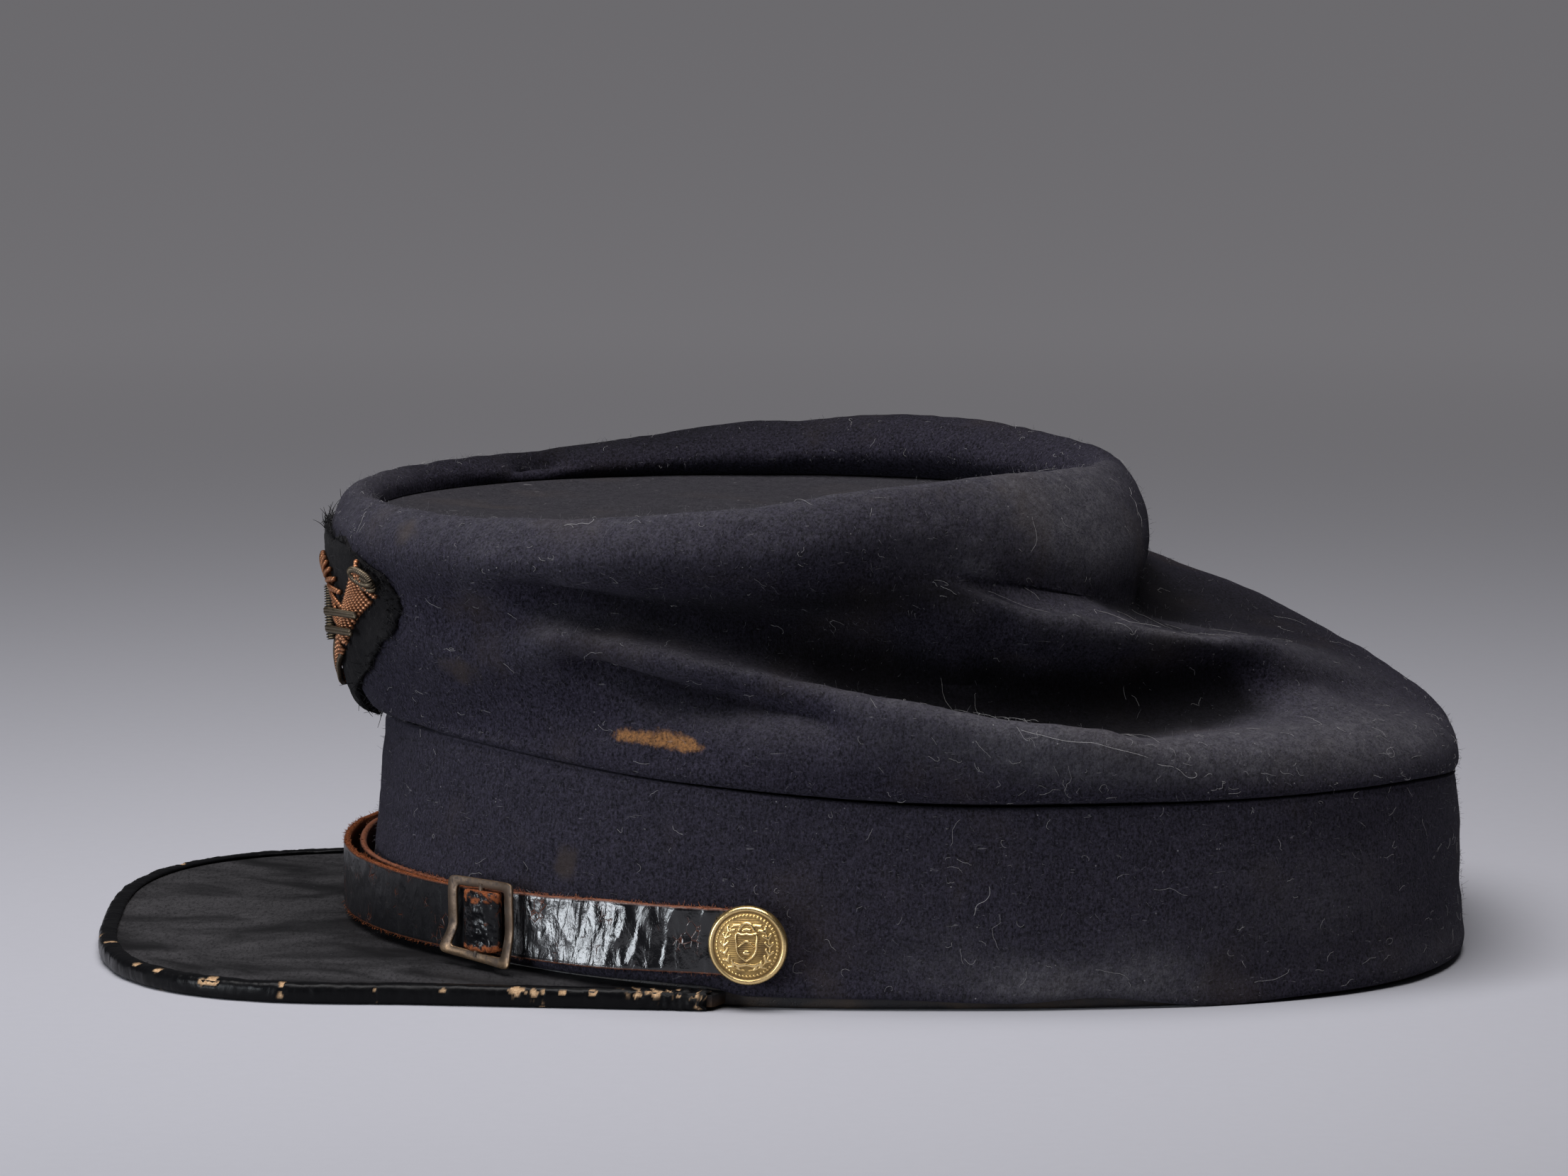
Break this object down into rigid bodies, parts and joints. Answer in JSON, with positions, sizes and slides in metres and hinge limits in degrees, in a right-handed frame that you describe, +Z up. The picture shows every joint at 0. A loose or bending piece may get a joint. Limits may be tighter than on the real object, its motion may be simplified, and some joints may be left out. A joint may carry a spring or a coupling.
{
  "type": "forage cap",
  "caption": "Old dark blue wool kepi with slumped crown, recessed round top, black leather peak and buckled chin strap, horn badge.",
  "frame": {"origin": "middle of the whole cap's length and width, at the level of the table it rests on", "axes": "+X from the peak to the back of the head, +Y to the wearer's right, +Z up"},
  "size_m": [0.271, 0.1796, 0.0992],
  "materials": {
    "wool": "fulled wool cloth, faded and linty",
    "wool_top": "fulled wool cloth over a stiff disc, dusty",
    "sweat_leather": "thin dull leather",
    "peak_leather": "black enamelled leather, scuffed and dusty",
    "binding_leather": "glossy black binding, cracked through to tan",
    "strap_leather": "black varnished leather, crazed, brown fibrous edges",
    "buckle_brass": "dark tarnished sheet brass",
    "gilt_brass": "worn gilt with dark recesses",
    "badge_cloth": "black velvet, frayed at the edge",
    "copper_wire": "tarnished copper-coloured embroidery wire",
    "grey_wire": "dull grey embroidery wire"
  },
  "bodies": {
    "root": {"crown_side": "wool", "crown_top": "wool_top", "hat_band": "wool", "sweatband": "sweat_leather", "peak": "peak_leather", "peak_binding": "binding_leather", "strap_under": "strap_leather", "strap_front": "strap_leather", "strap_buckle": "buckle_brass", "button_left": "gilt_brass", "button_right": "gilt_brass", "badge_patch": "badge_cloth", "badge_horn": "copper_wire", "badge_cord": "copper_wire", "badge_bar": "grey_wire"}
  },
  "joints": []
}
